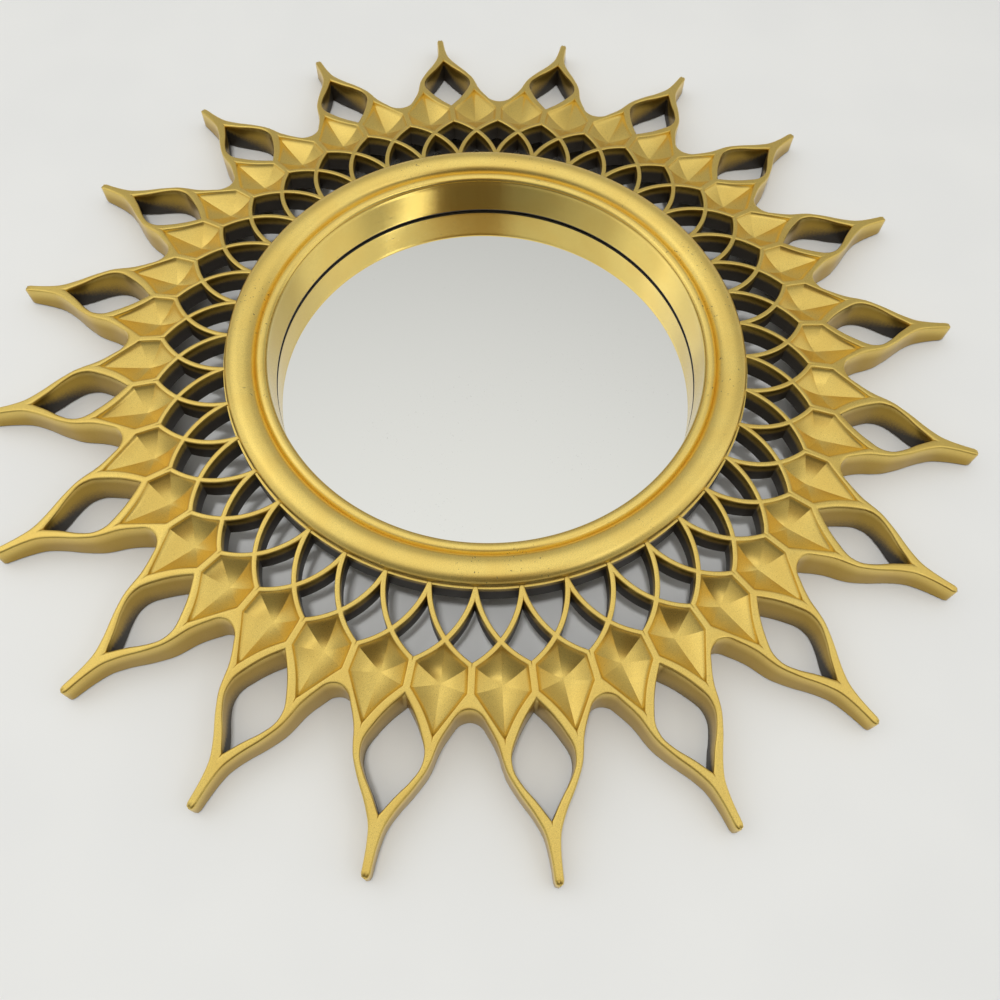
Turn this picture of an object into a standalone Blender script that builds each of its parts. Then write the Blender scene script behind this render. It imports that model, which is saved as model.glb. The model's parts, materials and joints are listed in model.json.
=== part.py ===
"""Sunburst wall mirror: an openwork frame of twenty rays round a small round mirror.

Everything is modelled lying on its back, with local +Z coming out of the front and local +Y up the
wall. The parent empty stands it upright, so the back lies in the plane Y = 0, the front faces -Y,
and the origin is the centre of the back. Lengths are metres.
"""
import math

import bmesh
import bpy
from mathutils import Vector

# Mirror and back cover, heights above the back of the object
SIGHT_RADIUS = 0.0534
SEAT_WIDTH = 0.0038
COVER_THICKNESS = 0.0029
GLASS_THICKNESS = 0.0015
CLEARANCE = 0.0003

# Ring moulding round the mirror
RING_FACE_WIDTH = 0.0108
RING_CREST_HEIGHT = 0.0179
RING_EDGE_THICKNESS = 0.0026
ROLL_WIDTH = 0.0072
BEAD_RADIUS = 0.0015
BEAD_CREST_DROP = 0.0015
WALL_DRAFT = 0.0005
RIM_WALL = 0.0040
NAIL_HOLE_RADIUS = 0.0012
NAIL_HOLE_DEPTH = 0.0080

# Openwork lattice, from the ring outwards
RAY_COUNT = 20
COLLAR_WIDTH = 0.0031
LATTICE_THICKNESS = 0.0064
LATTICE_RIB = 0.00125
ARCH_LENGTH = 0.0113
DIAMOND_POINT_LENGTH = 0.0052
COLLAR_TO_PEAK = 0.0002

# Sunk six-sided cells
CELL_WALL = 0.0017
CELL_WALL_LENGTH = 0.0056
CELL_POINT_LENGTH = 0.0093
CELL_DEPTH = 0.0024
CELL_CENTRE_OFFSET = 0.0032
BACK_STEP_OFFSET = 0.0034

# Rays
RAY_LENGTH = 0.0381
RAY_HOLE_START = 0.0017
RAY_HOLE_LENGTH = 0.0242
RAY_HOLE_HALF_WIDTH = 0.0067
VALLEY_INSET = 0.0035
RAY_SHOULDER_HALF_WIDTH = 0.0109
RAY_WAIST_HALF_WIDTH = 0.0086
STEM_HALF_WIDTH = 0.00095

# Height of the front surface above the back, at the lattice's inner end and along the rays
PEAK_HEIGHT = 0.0148
SHOULDER_HEIGHT = 0.01175
TIP_HEIGHT = 0.0052

# Roundness of the drawn curves
SECTOR_SEGMENTS = 3
RING_SEGMENTS = SECTOR_SEGMENTS * RAY_COUNT
DISC_SEGMENTS = 30
ROLL_SEGMENTS = 5
ROLL_START_DEGREES = 166
BEAD_SEGMENTS = 4
BEAD_START_DEGREES = 200
BEAD_END_DEGREES = 20
ARCH_SEGMENTS = 3
DIAMOND_SEGMENTS = 2
NAIL_HOLE_SEGMENTS = 12

# Heights and radii that follow from the sizes above
GLASS_BACK = COVER_THICKNESS + CLEARANCE
SEAT_HEIGHT = GLASS_BACK + GLASS_THICKNESS + CLEARANCE
RABBET_RADIUS = SIGHT_RADIUS + SEAT_WIDTH
DISC_RADIUS = RABBET_RADIUS - CLEARANCE
RING_BODY_RADIUS = RABBET_RADIUS + RIM_WALL
RING_OUTER_RADIUS = SIGHT_RADIUS + RING_FACE_WIDTH
RING_UNDERSIDE = RING_CREST_HEIGHT - RING_EDGE_THICKNESS
COLLAR_INNER_RADIUS = RING_BODY_RADIUS + CLEARANCE
COLLAR_RADIUS = COLLAR_INNER_RADIUS + COLLAR_WIDTH
COLLAR_TOP = RING_UNDERSIDE - CLEARANCE
PEAK_RADIUS = COLLAR_RADIUS + COLLAR_TO_PEAK
CROSSING_RADIUS = PEAK_RADIUS + ARCH_LENGTH
JUNCTION_RADIUS = CROSSING_RADIUS + DIAMOND_POINT_LENGTH
BACK_STEP_RADIUS = JUNCTION_RADIUS + BACK_STEP_OFFSET
CELL_CENTRE_RADIUS = JUNCTION_RADIUS + CELL_CENTRE_OFFSET
SHOULDER_RADIUS = JUNCTION_RADIUS + CELL_WALL_LENGTH
CELL_TIP_RADIUS = SHOULDER_RADIUS + CELL_POINT_LENGTH
VALLEY_RADIUS = SHOULDER_RADIUS + VALLEY_INSET
TIP_RADIUS = SHOULDER_RADIUS + RAY_LENGTH
HOLE_START_RADIUS = SHOULDER_RADIUS + RAY_HOLE_START

# The drawing repeats every half ray pitch; direction 0 is a valley and points straight down
HALF_PITCH = math.pi / RAY_COUNT
DOWN = -math.pi / 2

# Free curves, as shares of the ray's own length and widths
HOLE_EDGE = ((0.0, 0.0), (0.14, 0.41), (0.30, 0.76), (0.45, 0.985), (0.56, 0.965), (0.69, 0.74), (0.83, 0.38), (1.0, 0.0))
RAY_EDGE_TO_WAIST = ((0.0, 1.0), (0.26, 0.56), (0.50, 0.20), (0.85, 0.0))
RAY_EDGE_TO_STEM = ((0.44, 0.955), (0.53, 0.72), (0.625, 0.43), (0.70, 0.205), (0.78, 0.075), (0.90, 0.0))


def direction(steps):
    """Unit vector from the centre, a number of half pitches round from straight down."""
    angle = DOWN + steps * HALF_PITCH
    return Vector((math.cos(angle), math.sin(angle)))


def across(steps):
    """Unit vector square to a direction, on its anticlockwise side."""
    along = direction(steps)
    return Vector((-along.y, along.x))


def front_height(radius):
    """Height of the carved front: a shallow cone inside the shoulder and a steeper one over the rays."""
    if radius < SHOULDER_RADIUS:
        share = (radius - PEAK_RADIUS) / (SHOULDER_RADIUS - PEAK_RADIUS)
        return min(COLLAR_TOP, PEAK_HEIGHT + share * (SHOULDER_HEIGHT - PEAK_HEIGHT))
    share = (radius - SHOULDER_RADIUS) / RAY_LENGTH
    return SHOULDER_HEIGHT + share * (TIP_HEIGHT - SHOULDER_HEIGHT)


def lattice_back_height(radius):
    """Height of the lattice's back, which hangs clear of the wall."""
    return max(0.0, front_height(radius) - LATTICE_THICKNESS)


def circle_through(first, second, third):
    """Centre and radius of the circle through three points."""
    chord_a = second - first
    chord_b = third - first
    twice_area = 2 * chord_a.cross(chord_b)
    square_a = chord_a.length_squared
    square_b = chord_b.length_squared
    offset = Vector((chord_b.y * square_a - chord_a.y * square_b, chord_a.x * square_b - chord_b.x * square_a))
    offset /= twice_area
    return first + offset, offset.length


def circles_meet(centre_a, radius_a, centre_b, radius_b, near):
    """Where two circles cross, at the crossing nearer to a point."""
    line = centre_b - centre_a
    distance = line.length
    along = (distance ** 2 + radius_a ** 2 - radius_b ** 2) / (2 * distance)
    aside = math.sqrt(max(0.0, radius_a ** 2 - along ** 2))
    unit = line / distance
    normal = Vector((-unit.y, unit.x))
    foot = centre_a + unit * along
    return min((foot + normal * aside, foot - normal * aside), key=lambda point: (point - near).length)


def line_meets_circle(start, unit, centre, radius, near):
    """Where a line from start crosses a circle, at the crossing nearer to a point."""
    offset = start - centre
    half = offset.dot(unit)
    root = math.sqrt(max(0.0, half ** 2 - offset.length_squared + radius ** 2))
    return min((start + unit * (root - half), start - unit * (root + half)), key=lambda point: (point - near).length)


def arc_points(centre, first, last, segments):
    """Points along the shorter arc from first to last, without the last one."""
    start = first - centre
    turn = math.atan2(start.cross(last - centre), start.dot(last - centre))
    points = []
    for index in range(segments):
        angle = turn * index / segments
        cosine = math.cos(angle)
        sine = math.sin(angle)
        points.append(centre + Vector((start.x * cosine - start.y * sine, start.x * sine + start.y * cosine)))
    return points


def mirrored(points, steps):
    """The points reflected in the radial line of a direction, in reverse order."""
    axis = direction(steps)
    return [2 * point.dot(axis) * axis - point for point in reversed(points)]


class Arch:
    """The curved rib from a lattice peak through a crossing to the junction one direction on."""

    def __init__(self, steps):
        self.steps = steps
        peak = direction(steps) * PEAK_RADIUS
        crossing = direction(steps + 0.5) * CROSSING_RADIUS
        junction = direction(steps + 1) * JUNCTION_RADIUS
        self.centre, self.radius = circle_through(peak, crossing, junction)
        self.inner = self.radius - LATTICE_RIB / 2
        self.outer = self.radius + LATTICE_RIB / 2
        axis = direction(steps + 0.5)
        self.twin_centre = 2 * self.centre.dot(axis) * axis - self.centre

    def half_diamond(self):
        """Anticlockwise half of the hole whose axis is the peak's direction, from its top to its foot."""
        axis = direction(self.steps)
        zero = Vector((0.0, 0.0))
        top = line_meets_circle(zero, axis, self.centre, self.outer, axis * (PEAK_RADIUS + ARCH_LENGTH / 3))
        side = circles_meet(self.centre, self.outer, self.twin_centre, self.inner,
                            direction(self.steps + 0.5) * CROSSING_RADIUS)
        foot = line_meets_circle(zero, axis, self.twin_centre, self.inner, axis * JUNCTION_RADIUS)
        half = arc_points(self.centre, top, side, DIAMOND_SEGMENTS)
        half += arc_points(self.twin_centre, side, foot, DIAMOND_SEGMENTS)
        return half + [foot]

    def window(self):
        """Arched hole between two peaks and the collar."""
        zero = Vector((0.0, 0.0))
        middle = self.steps + 0.5
        apex = circles_meet(self.centre, self.inner, self.twin_centre, self.inner, direction(middle) * CROSSING_RADIUS)
        foot = circles_meet(self.centre, self.inner, zero, COLLAR_RADIUS, direction(self.steps) * COLLAR_RADIUS)
        far_foot = mirrored([foot], middle)[0]
        side = arc_points(self.centre, apex, foot, ARCH_SEGMENTS)
        return side + arc_points(zero, foot, far_foot, 2) + [far_foot] + mirrored(side[1:], middle)

    def cell_rim(self):
        """Outline of the sunk cell beyond the crossing."""
        middle = self.steps + 0.5
        axis = direction(middle)
        zero = Vector((0.0, 0.0))
        inner_point = line_meets_circle(zero, axis, self.centre, self.outer, axis * CROSSING_RADIUS)
        beside_wall = across(self.steps + 1) * (-CELL_WALL / 2)
        along_wall = direction(self.steps + 1)
        junction = line_meets_circle(beside_wall, along_wall, self.centre, self.outer, along_wall * JUNCTION_RADIUS)
        shoulder = beside_wall + along_wall * SHOULDER_RADIUS
        half = arc_points(self.centre, inner_point, junction, 2) + [junction, shoulder]
        return half + [axis * CELL_TIP_RADIUS] + mirrored(half[1:], middle)


def on_ray(steps, radial, tangential):
    """A point by its distance along a ray's own axis and to one side of it."""
    return direction(steps) * radial + across(steps) * tangential


def ray_hole(steps):
    """Teardrop hole through a ray."""
    half = []
    for length_share, width_share in HOLE_EDGE:
        radial = HOLE_START_RADIUS + length_share * RAY_HOLE_LENGTH
        half.append(on_ray(steps, radial, width_share * RAY_HOLE_HALF_WIDTH))
    return half + mirrored(half[1:-1], steps)


def half_ray_edge(steps):
    """Anticlockwise half of a ray's outline, from its tip to the valley after it."""
    waist_radial = SHOULDER_RADIUS + RAY_EDGE_TO_STEM[0][0] * RAY_LENGTH
    shoulder_radial = VALLEY_RADIUS * math.cos(HALF_PITCH) + VALLEY_INSET * 0.75
    taper = RAY_WAIST_HALF_WIDTH - STEM_HALF_WIDTH
    flare = RAY_SHOULDER_HALF_WIDTH - RAY_WAIST_HALF_WIDTH
    edge = [on_ray(steps, TIP_RADIUS, 0.0)]
    edge.append(on_ray(steps, TIP_RADIUS - STEM_HALF_WIDTH * 0.29, STEM_HALF_WIDTH * 0.71))
    edge.append(on_ray(steps, TIP_RADIUS - STEM_HALF_WIDTH, STEM_HALF_WIDTH))
    for length_share, width_share in reversed(RAY_EDGE_TO_STEM):
        edge.append(on_ray(steps, SHOULDER_RADIUS + length_share * RAY_LENGTH, STEM_HALF_WIDTH + width_share * taper))
    for length_share, width_share in reversed(RAY_EDGE_TO_WAIST):
        radial = shoulder_radial + length_share * (waist_radial - shoulder_radial)
        edge.append(on_ray(steps, radial, RAY_WAIST_HALF_WIDTH + width_share * flare))
    edge.append(on_ray(steps, shoulder_radial - VALLEY_INSET * 0.55, RAY_SHOULDER_HALF_WIDTH + VALLEY_INSET * 0.45))
    edge.append(direction(steps + 1) * VALLEY_RADIUS)
    return edge


def sector_arc(radius):
    """Points of a circle across one sector, from the direction before ray 1 to the one after it."""
    count = SECTOR_SEGMENTS
    return [direction(2 * index / count) * radius for index in range(count + 1)]


def lattice_outline(outer_radius):
    """Outline of one sector of lattice: collar edge, half diamonds on both sides, and a round outer edge."""
    side = Arch(0).half_diamond()
    far_side = mirrored(side, 1)
    return sector_arc(COLLAR_INNER_RADIUS)[::-1] + side + sector_arc(outer_radius) + far_side


def full_outline():
    """Outline of one whole sector, from the collar to the tip of ray 1."""
    side = Arch(0).half_diamond()
    half_edge = half_ray_edge(1)
    edge = mirrored(half_edge, 1) + half_edge[1:]
    return sector_arc(COLLAR_INNER_RADIUS)[::-1] + side + edge + mirrored(side, 1)


def ray_outline():
    """Outline of one sector outside the step in the back."""
    half_edge = half_ray_edge(1)
    edge = mirrored(half_edge, 1) + half_edge[1:]
    return sector_arc(BACK_STEP_RADIUS)[::-1] + edge


def lattice_holes():
    """The whole holes of one sector's lattice."""
    half = Arch(1).half_diamond()
    return [half + mirrored(half[1:-1], 1), Arch(0).window(), Arch(1).window()]


def clear_scene():
    """Removes whatever the scene holds."""
    for old in list(bpy.data.objects):
        bpy.data.objects.remove(old, do_unlink=True)


def new_collection(name):
    """A collection linked to the scene."""
    collection = bpy.data.collections.new(name)
    bpy.context.scene.collection.children.link(collection)
    return collection


def material(name, colour, roughness, metallic):
    """A Principled material with plain values."""
    made = bpy.data.materials.new(name)
    made.use_nodes = True
    shader = made.node_tree.nodes["Principled BSDF"]
    shader.inputs["Base Color"].default_value = (*colour, 1.0)
    shader.inputs["Roughness"].default_value = roughness
    shader.inputs["Metallic"].default_value = metallic
    made.diffuse_color = (*colour, 1.0)
    return made


def add_object(name, mesh, collection, parent, finish=None):
    """Puts a mesh into the scene as a child of the empty that holds the object upright."""
    made = bpy.data.objects.new(name, mesh)
    collection.objects.link(made)
    made.parent = parent
    if finish:
        mesh.materials.append(finish)
    return made


def add_cutter(name, mesh, collection, parent):
    """Puts a mesh into the scene as a cutter."""
    cutter = add_object(name, mesh, collection, parent)
    cutter.hide_render = True
    cutter.display_type = "WIRE"
    return cutter


def cut(target, cutter):
    """Takes a cutter's volume away."""
    boolean = target.modifiers.new("cut", "BOOLEAN")
    boolean.operation = "DIFFERENCE"
    boolean.solver = "EXACT"
    boolean.object = cutter


def mesh_from_bmesh(name, shape):
    """Finishes a bmesh as closed mesh data with its faces pointing out."""
    bmesh.ops.recalc_face_normals(shape, faces=shape.faces)
    mesh = bpy.data.meshes.new(name)
    shape.to_mesh(mesh)
    shape.free()
    return mesh


def sheet_mesh(name, loops):
    """A flat filled sheet from an outline and its holes."""
    curve = bpy.data.curves.new(name, "CURVE")
    curve.dimensions = "2D"
    curve.fill_mode = "BOTH"
    for loop in loops:
        spline = curve.splines.new("POLY")
        spline.points.add(len(loop) - 1)
        spline.use_cyclic_u = True
        for point, place in zip(spline.points, loop):
            point.co = (place.x, place.y, 0.0, 1.0)
    drawing = bpy.data.objects.new(name, curve)
    bpy.context.scene.collection.objects.link(drawing)
    evaluated = drawing.evaluated_get(bpy.context.evaluated_depsgraph_get())
    mesh = bpy.data.meshes.new_from_object(evaluated)
    bpy.data.objects.remove(drawing, do_unlink=True)
    bpy.data.curves.remove(curve)
    return mesh


def add_sheet(shape, loops, height_at):
    """Adds one sector's sheet to a bmesh with its heights set, and returns its vertices."""
    before = set(shape.verts)
    mesh = sheet_mesh("sheet", loops)
    shape.from_mesh(mesh)
    bpy.data.meshes.remove(mesh)
    added = [vertex for vertex in shape.verts if vertex not in before]
    for vertex in added:
        vertex.co.z = height_at(vertex.co.xy.length)
    return added


def weld(shape):
    """Joins vertices that lie on each other."""
    bmesh.ops.remove_doubles(shape, verts=shape.verts, dist=1e-6)


def on_sector_side(edge):
    """Whether an edge lies on one of the two radial lines where a sector meets its neighbours."""
    for line in (across(0), across(2)):
        if all(abs(vertex.co.xy.dot(line)) < 1e-6 for vertex in edge.verts):
            return True
    return False


def raise_walls(shape, edges, height_at):
    """Draws walls from a sheet's edges to another height."""
    walls = bmesh.ops.extrude_edge_only(shape, edges=edges)
    for item in walls["geom"]:
        if isinstance(item, bmesh.types.BMVert):
            item.co.z = height_at(item.co.xy.length)


def near_step(edge):
    """Whether an edge lies on the step in the back."""
    return all(abs(vertex.co.xy.length - BACK_STEP_RADIUS) < 1e-6 for vertex in edge.verts)


def open_edges(shape, wanted):
    """A sheet's free edges that pass a test, without those on the sector's sides."""
    return [edge for edge in shape.edges if edge.is_boundary and not on_sector_side(edge) and wanted(edge)]


def sector_shape():
    """One sector of the frame, open on its two radial sides."""
    shape = bmesh.new()
    add_sheet(shape, [ray_outline(), ray_hole(1)], lambda radius: 0.0)
    weld(shape)
    step = open_edges(shape, near_step)
    outside = open_edges(shape, lambda edge: not near_step(edge))
    raise_walls(shape, step, lattice_back_height)
    raise_walls(shape, outside, front_height)

    lattice = bmesh.new()
    add_sheet(lattice, [lattice_outline(BACK_STEP_RADIUS)] + lattice_holes(), lattice_back_height)
    weld(lattice)
    raise_walls(lattice, open_edges(lattice, lambda edge: not near_step(edge)), front_height)
    lattice_mesh = mesh_from_bmesh("lattice_back", lattice)
    shape.from_mesh(lattice_mesh)
    bpy.data.meshes.remove(lattice_mesh)

    rims = [Arch(0).cell_rim(), Arch(1).cell_rim()]
    add_sheet(shape, [full_outline(), ray_hole(1)] + lattice_holes() + rims, front_height)
    for steps, rim in enumerate(rims):
        corners = [shape.verts.new((point.x, point.y, front_height(point.length))) for point in rim]
        poked = bmesh.ops.poke(shape, faces=[shape.faces.new(corners)])
        centre = direction(steps + 0.5) * CELL_CENTRE_RADIUS
        poked["verts"][0].co = (centre.x, centre.y, front_height(CELL_CENTRE_RADIUS) - CELL_DEPTH)
    weld(shape)
    return shape


def sunburst_mesh():
    """The whole frame: one sector for each ray, welded at their sides."""
    shape = sector_shape()
    pitch = 2 * HALF_PITCH
    geometry = shape.verts[:] + shape.edges[:] + shape.faces[:]
    bmesh.ops.spin(shape, geom=geometry, axis=(0.0, 0.0, 1.0), cent=(0.0, 0.0, 0.0),
                   angle=2 * math.pi - pitch, steps=RAY_COUNT - 1, use_duplicate=True)
    weld(shape)
    return mesh_from_bmesh("sunburst_frame", shape)


def ellipse_point(centre, reach, rise, degrees):
    """A point of an ellipse in the turned profile."""
    angle = math.radians(degrees)
    return centre[0] + reach * math.cos(angle), centre[1] + rise * math.sin(angle)


def ring_profile():
    """Closed section of the ring moulding: down its outer side, in along the back, up inside."""
    roll_reach = ROLL_WIDTH / 2
    roll_centre = (RING_OUTER_RADIUS - roll_reach, RING_UNDERSIDE)
    roll_rise = RING_EDGE_THICKNESS
    bead_centre = (SIGHT_RADIUS + WALL_DRAFT + BEAD_RADIUS, RING_CREST_HEIGHT - BEAD_CREST_DROP - BEAD_RADIUS)
    points = []
    for index in range(ROLL_SEGMENTS + 1):
        degrees = ROLL_START_DEGREES * (1 - index / ROLL_SEGMENTS)
        points.append(ellipse_point(roll_centre, roll_reach, roll_rise, degrees))
    points.append((RING_BODY_RADIUS, RING_UNDERSIDE))
    points.append((RING_BODY_RADIUS, 0.0))
    points.append((RABBET_RADIUS, 0.0))
    points.append((RABBET_RADIUS, SEAT_HEIGHT))
    points.append((SIGHT_RADIUS, SEAT_HEIGHT))
    bead_turn = BEAD_END_DEGREES - BEAD_START_DEGREES
    for index in range(BEAD_SEGMENTS + 1):
        degrees = BEAD_START_DEGREES + bead_turn * index / BEAD_SEGMENTS
        points.append(ellipse_point(bead_centre, BEAD_RADIUS, BEAD_RADIUS, degrees))
    return points


def turned_mesh(name, profile):
    """A closed section in the XZ plane as loose edges, for a Screw modifier to turn."""
    mesh = bpy.data.meshes.new(name)
    count = len(profile)
    mesh.from_pydata([(radius, 0.0, height) for radius, height in profile],
                     [(index, (index + 1) % count) for index in range(count)], [])
    return mesh


def turn(target):
    """Turns a section all the way round local Z."""
    screw = target.modifiers.new("turn", "SCREW")
    screw.angle = 2 * math.pi
    screw.steps = RING_SEGMENTS
    screw.render_steps = RING_SEGMENTS
    screw.use_merge_vertices = True
    screw.merge_threshold = 1e-6


def disc_mesh(name, radius, bottom, thickness, segments=DISC_SEGMENTS, centre=(0.0, 0.0)):
    """A round flat disc."""
    shape = bmesh.new()
    bmesh.ops.create_cone(shape, cap_ends=True, segments=segments, radius1=radius, radius2=radius, depth=thickness)
    bmesh.ops.translate(shape, verts=shape.verts, vec=(centre[0], centre[1], bottom + thickness / 2))
    return mesh_from_bmesh(name, shape)


def build():
    """Makes the four pieces and the cutter for the nail hole."""
    clear_scene()
    parts = new_collection("sunburst_wall_mirror")
    cutters = new_collection("cutters")
    upright = bpy.data.objects.new("upright", None)
    upright.rotation_euler = (math.pi / 2, 0.0, 0.0)
    parts.objects.link(upright)

    gold = material("satin_gold", (0.69, 0.47, 0.12), 0.36, 0.9)
    ring_gold = material("ring_gold", (0.72, 0.50, 0.14), 0.30, 0.9)
    silver = material("mirror_silver", (0.92, 0.93, 0.93), 0.03, 1.0)
    black = material("black_plastic", (0.025, 0.024, 0.023), 0.55, 0.0)

    add_object("sunburst_frame", sunburst_mesh(), parts, upright, gold)

    ring = add_object("mirror_ring", turned_mesh("mirror_ring", ring_profile()), parts, upright, ring_gold)
    turn(ring)
    nail_place = (0.0, (RABBET_RADIUS + RING_BODY_RADIUS) / 2)
    nail_mesh = disc_mesh("nail_hole_cutter", NAIL_HOLE_RADIUS, -NAIL_HOLE_DEPTH, 2 * NAIL_HOLE_DEPTH,
                          NAIL_HOLE_SEGMENTS, nail_place)
    cut(ring, add_cutter("nail_hole_cutter", nail_mesh, cutters, upright))

    add_object("mirror_disc", disc_mesh("mirror_disc", DISC_RADIUS, GLASS_BACK, GLASS_THICKNESS),
               parts, upright, silver)
    add_object("back_cover", disc_mesh("back_cover", DISC_RADIUS, 0.0, COVER_THICKNESS), parts, upright, black)


build()
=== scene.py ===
"""Looks of the sunburst wall mirror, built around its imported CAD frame.

Lengths are metres. The plan of the frame is drawn as complex numbers x + i z, seen from the front,
and a height above the back is the world's -Y. Directions count half ray pitches anticlockwise from
straight down: even ones are valleys between rays and odd ones are rays.
"""

import json
import logging
import math
from dataclasses import dataclass
from enum import Enum
from typing import Any

import bmesh
import bpy
import numpy as np
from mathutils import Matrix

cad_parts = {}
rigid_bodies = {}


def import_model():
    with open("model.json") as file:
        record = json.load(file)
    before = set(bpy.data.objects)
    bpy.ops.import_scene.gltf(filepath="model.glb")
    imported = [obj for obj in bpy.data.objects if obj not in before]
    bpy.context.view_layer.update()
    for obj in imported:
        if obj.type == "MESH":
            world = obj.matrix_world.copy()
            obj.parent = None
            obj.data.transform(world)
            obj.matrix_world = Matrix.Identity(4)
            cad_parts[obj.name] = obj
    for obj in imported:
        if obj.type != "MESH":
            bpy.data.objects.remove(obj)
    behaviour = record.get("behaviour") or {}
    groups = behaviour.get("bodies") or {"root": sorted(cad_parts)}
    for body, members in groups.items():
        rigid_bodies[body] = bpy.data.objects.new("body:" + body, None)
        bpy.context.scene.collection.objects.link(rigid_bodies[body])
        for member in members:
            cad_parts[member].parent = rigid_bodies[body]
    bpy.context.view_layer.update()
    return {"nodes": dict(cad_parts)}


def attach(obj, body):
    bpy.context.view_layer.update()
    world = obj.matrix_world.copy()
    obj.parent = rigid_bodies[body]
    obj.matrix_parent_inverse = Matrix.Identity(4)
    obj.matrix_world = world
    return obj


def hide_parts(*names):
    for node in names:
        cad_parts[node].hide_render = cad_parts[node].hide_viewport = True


LOG = logging.getLogger("sunburst_mirror")
MM = 0.001
RAY_COUNT = 20
HALF_PITCH = math.pi / RAY_COUNT
DOWN = -math.pi / 2
BODY = "root"
WELD_REACH = 0.003 * MM
UNPAINTED = 9.0


class Slot(Enum):
    """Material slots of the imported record."""

    FRAME = "satin_gold"
    RING = "ring_gold"
    GLASS = "mirror_silver"
    BACK = "black_plastic"


def toward(steps: float | np.ndarray) -> np.ndarray:
    """Unit vector of a direction, counted in half ray pitches from straight down."""
    return np.exp(1j * (DOWN + np.asarray(steps) * HALF_PITCH))


def reflected(points: np.ndarray, steps: float) -> np.ndarray:
    """Points reflected in the radial line of a direction: conj(z) times the axis squared."""
    axis = toward(steps)
    return np.conj(points) * axis * axis


def circle_through(first: complex, second: complex, third: complex) -> tuple[complex, float]:
    """Circle through three points of the plan.

    Args:
        first: a point of the circle.
        second: another point.
        third: the last point.

    Returns:
        The centre, where the perpendicular bisectors meet, and the radius.
    """
    b, c = second - first, third - first
    twice_area = 2 * (b.conjugate() * c).imag
    centre = 1j * (b * abs(c) ** 2 - c * abs(b) ** 2) / twice_area
    return first + centre, abs(centre)


def circles_meet(
    centre_a: complex, radius_a: float, centre_b: complex, radius_b: float, near: complex
) -> complex:
    """Crossing of two circles.

    Args:
        centre_a: centre of the first circle.
        radius_a: its radius.
        centre_b: centre of the second circle.
        radius_b: its radius.
        near: a point close to the crossing that is wanted.

    Returns:
        The crossing: the foot along the line of centres, with the half chord across it.
    """
    line = centre_b - centre_a
    distance = abs(line)
    along = (distance**2 + radius_a**2 - radius_b**2) / (2 * distance)
    aside = math.sqrt(max(0.0, radius_a**2 - along**2))
    foot = centre_a + line / distance * along
    offset = 1j * line / distance * aside
    return min((foot + offset, foot - offset), key=lambda point: abs(point - near))


def line_meets_circle(
    start: complex, unit: complex, centre: complex, radius: float, near: complex
) -> complex:
    """Crossing of a straight line and a circle.

    Args:
        start: a point of the line.
        unit: the line's unit direction.
        centre: the circle's centre.
        radius: its radius.
        near: a point close to the crossing that is wanted.

    Returns:
        The crossing, from the roots of |start + t unit - centre| = radius.
    """
    offset = start - centre
    half = (offset * unit.conjugate()).real
    root = math.sqrt(max(0.0, half**2 - abs(offset) ** 2 + radius**2))
    crossings = (start + unit * (root - half), start - unit * (root + half))
    return min(crossings, key=lambda point: abs(point - near))


def arc(centre: complex, first: complex, last: complex, count: int) -> np.ndarray:
    """Points evenly spaced on the shorter arc of a circle.

    Args:
        centre: the circle's centre.
        first: the arc's first end.
        last: its other end.
        count: how many steps to take.

    Returns:
        count + 1 points: the first one turned by equal angles about the centre.
    """
    turn = np.angle((last - centre) / (first - centre))
    return centre + (first - centre) * np.exp(1j * turn * np.linspace(0, 1, count + 1))


def straight(first: complex, last: complex, count: int, bow: float = 0.0) -> np.ndarray:
    """Points on a line that may bow to its left like half a sine wave.

    Args:
        first: the line's first end.
        last: its other end.
        count: how many steps to take.
        bow: the largest distance from the straight line, to its left.

    Returns:
        count + 1 points.
    """
    share = np.linspace(0, 1, count + 1)
    left = 1j * (last - first) / abs(last - first)
    return first + (last - first) * share + left * bow * np.sin(math.pi * share)


def lengths(points: np.ndarray) -> np.ndarray:
    """Distance along a polyline from its first point to each of its points."""
    return np.concatenate(([0.0], np.cumsum(np.abs(np.diff(points)))))


def through(waypoints: np.ndarray, count: int) -> np.ndarray:
    """Smooth curve through waypoints.

    Args:
        waypoints: the points that the curve passes.
        count: how many steps to take.

    Returns:
        count + 1 points at even steps of chord length on a cubic Hermite curve, whose slope at a
        waypoint is the average of its two chords' slopes, weighted by the other chord's length.
    """
    knots = lengths(waypoints)
    chords = np.diff(waypoints) / np.diff(knots)
    before, after = np.diff(knots)[:-1], np.diff(knots)[1:]
    inner = (chords[:-1] * after + chords[1:] * before) / (before + after)
    slopes = np.concatenate((chords[:1], inner, chords[-1:]))
    at = np.linspace(0, knots[-1], count + 1)
    index = np.clip(np.searchsorted(knots, at, side="right") - 1, 0, len(knots) - 2)
    span = knots[index + 1] - knots[index]
    t = (at - knots[index]) / span
    return (
        waypoints[index] * (2 * t**3 - 3 * t**2 + 1)
        + slopes[index] * span * (t**3 - 2 * t**2 + t)
        + waypoints[index + 1] * (3 * t**2 - 2 * t**3)
        + slopes[index + 1] * span * (t**3 - t**2)
    )


def stretch(points: np.ndarray, first: float, last: float, count: int) -> np.ndarray:
    """Evenly spaced points on part of a polyline.

    Args:
        points: the polyline.
        first: length along it where the part begins.
        last: length along it where the part ends.
        count: how many steps to take.

    Returns:
        count + 1 points.
    """
    along = lengths(points)
    at = np.linspace(first, last, count + 1)
    return np.interp(at, along, points.real) + 1j * np.interp(at, along, points.imag)


def nearest_length(points: np.ndarray, place: complex) -> float:
    """Length along a polyline of its point nearest to a place."""
    return float(lengths(points)[int(np.argmin(np.abs(points - place)))])


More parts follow.
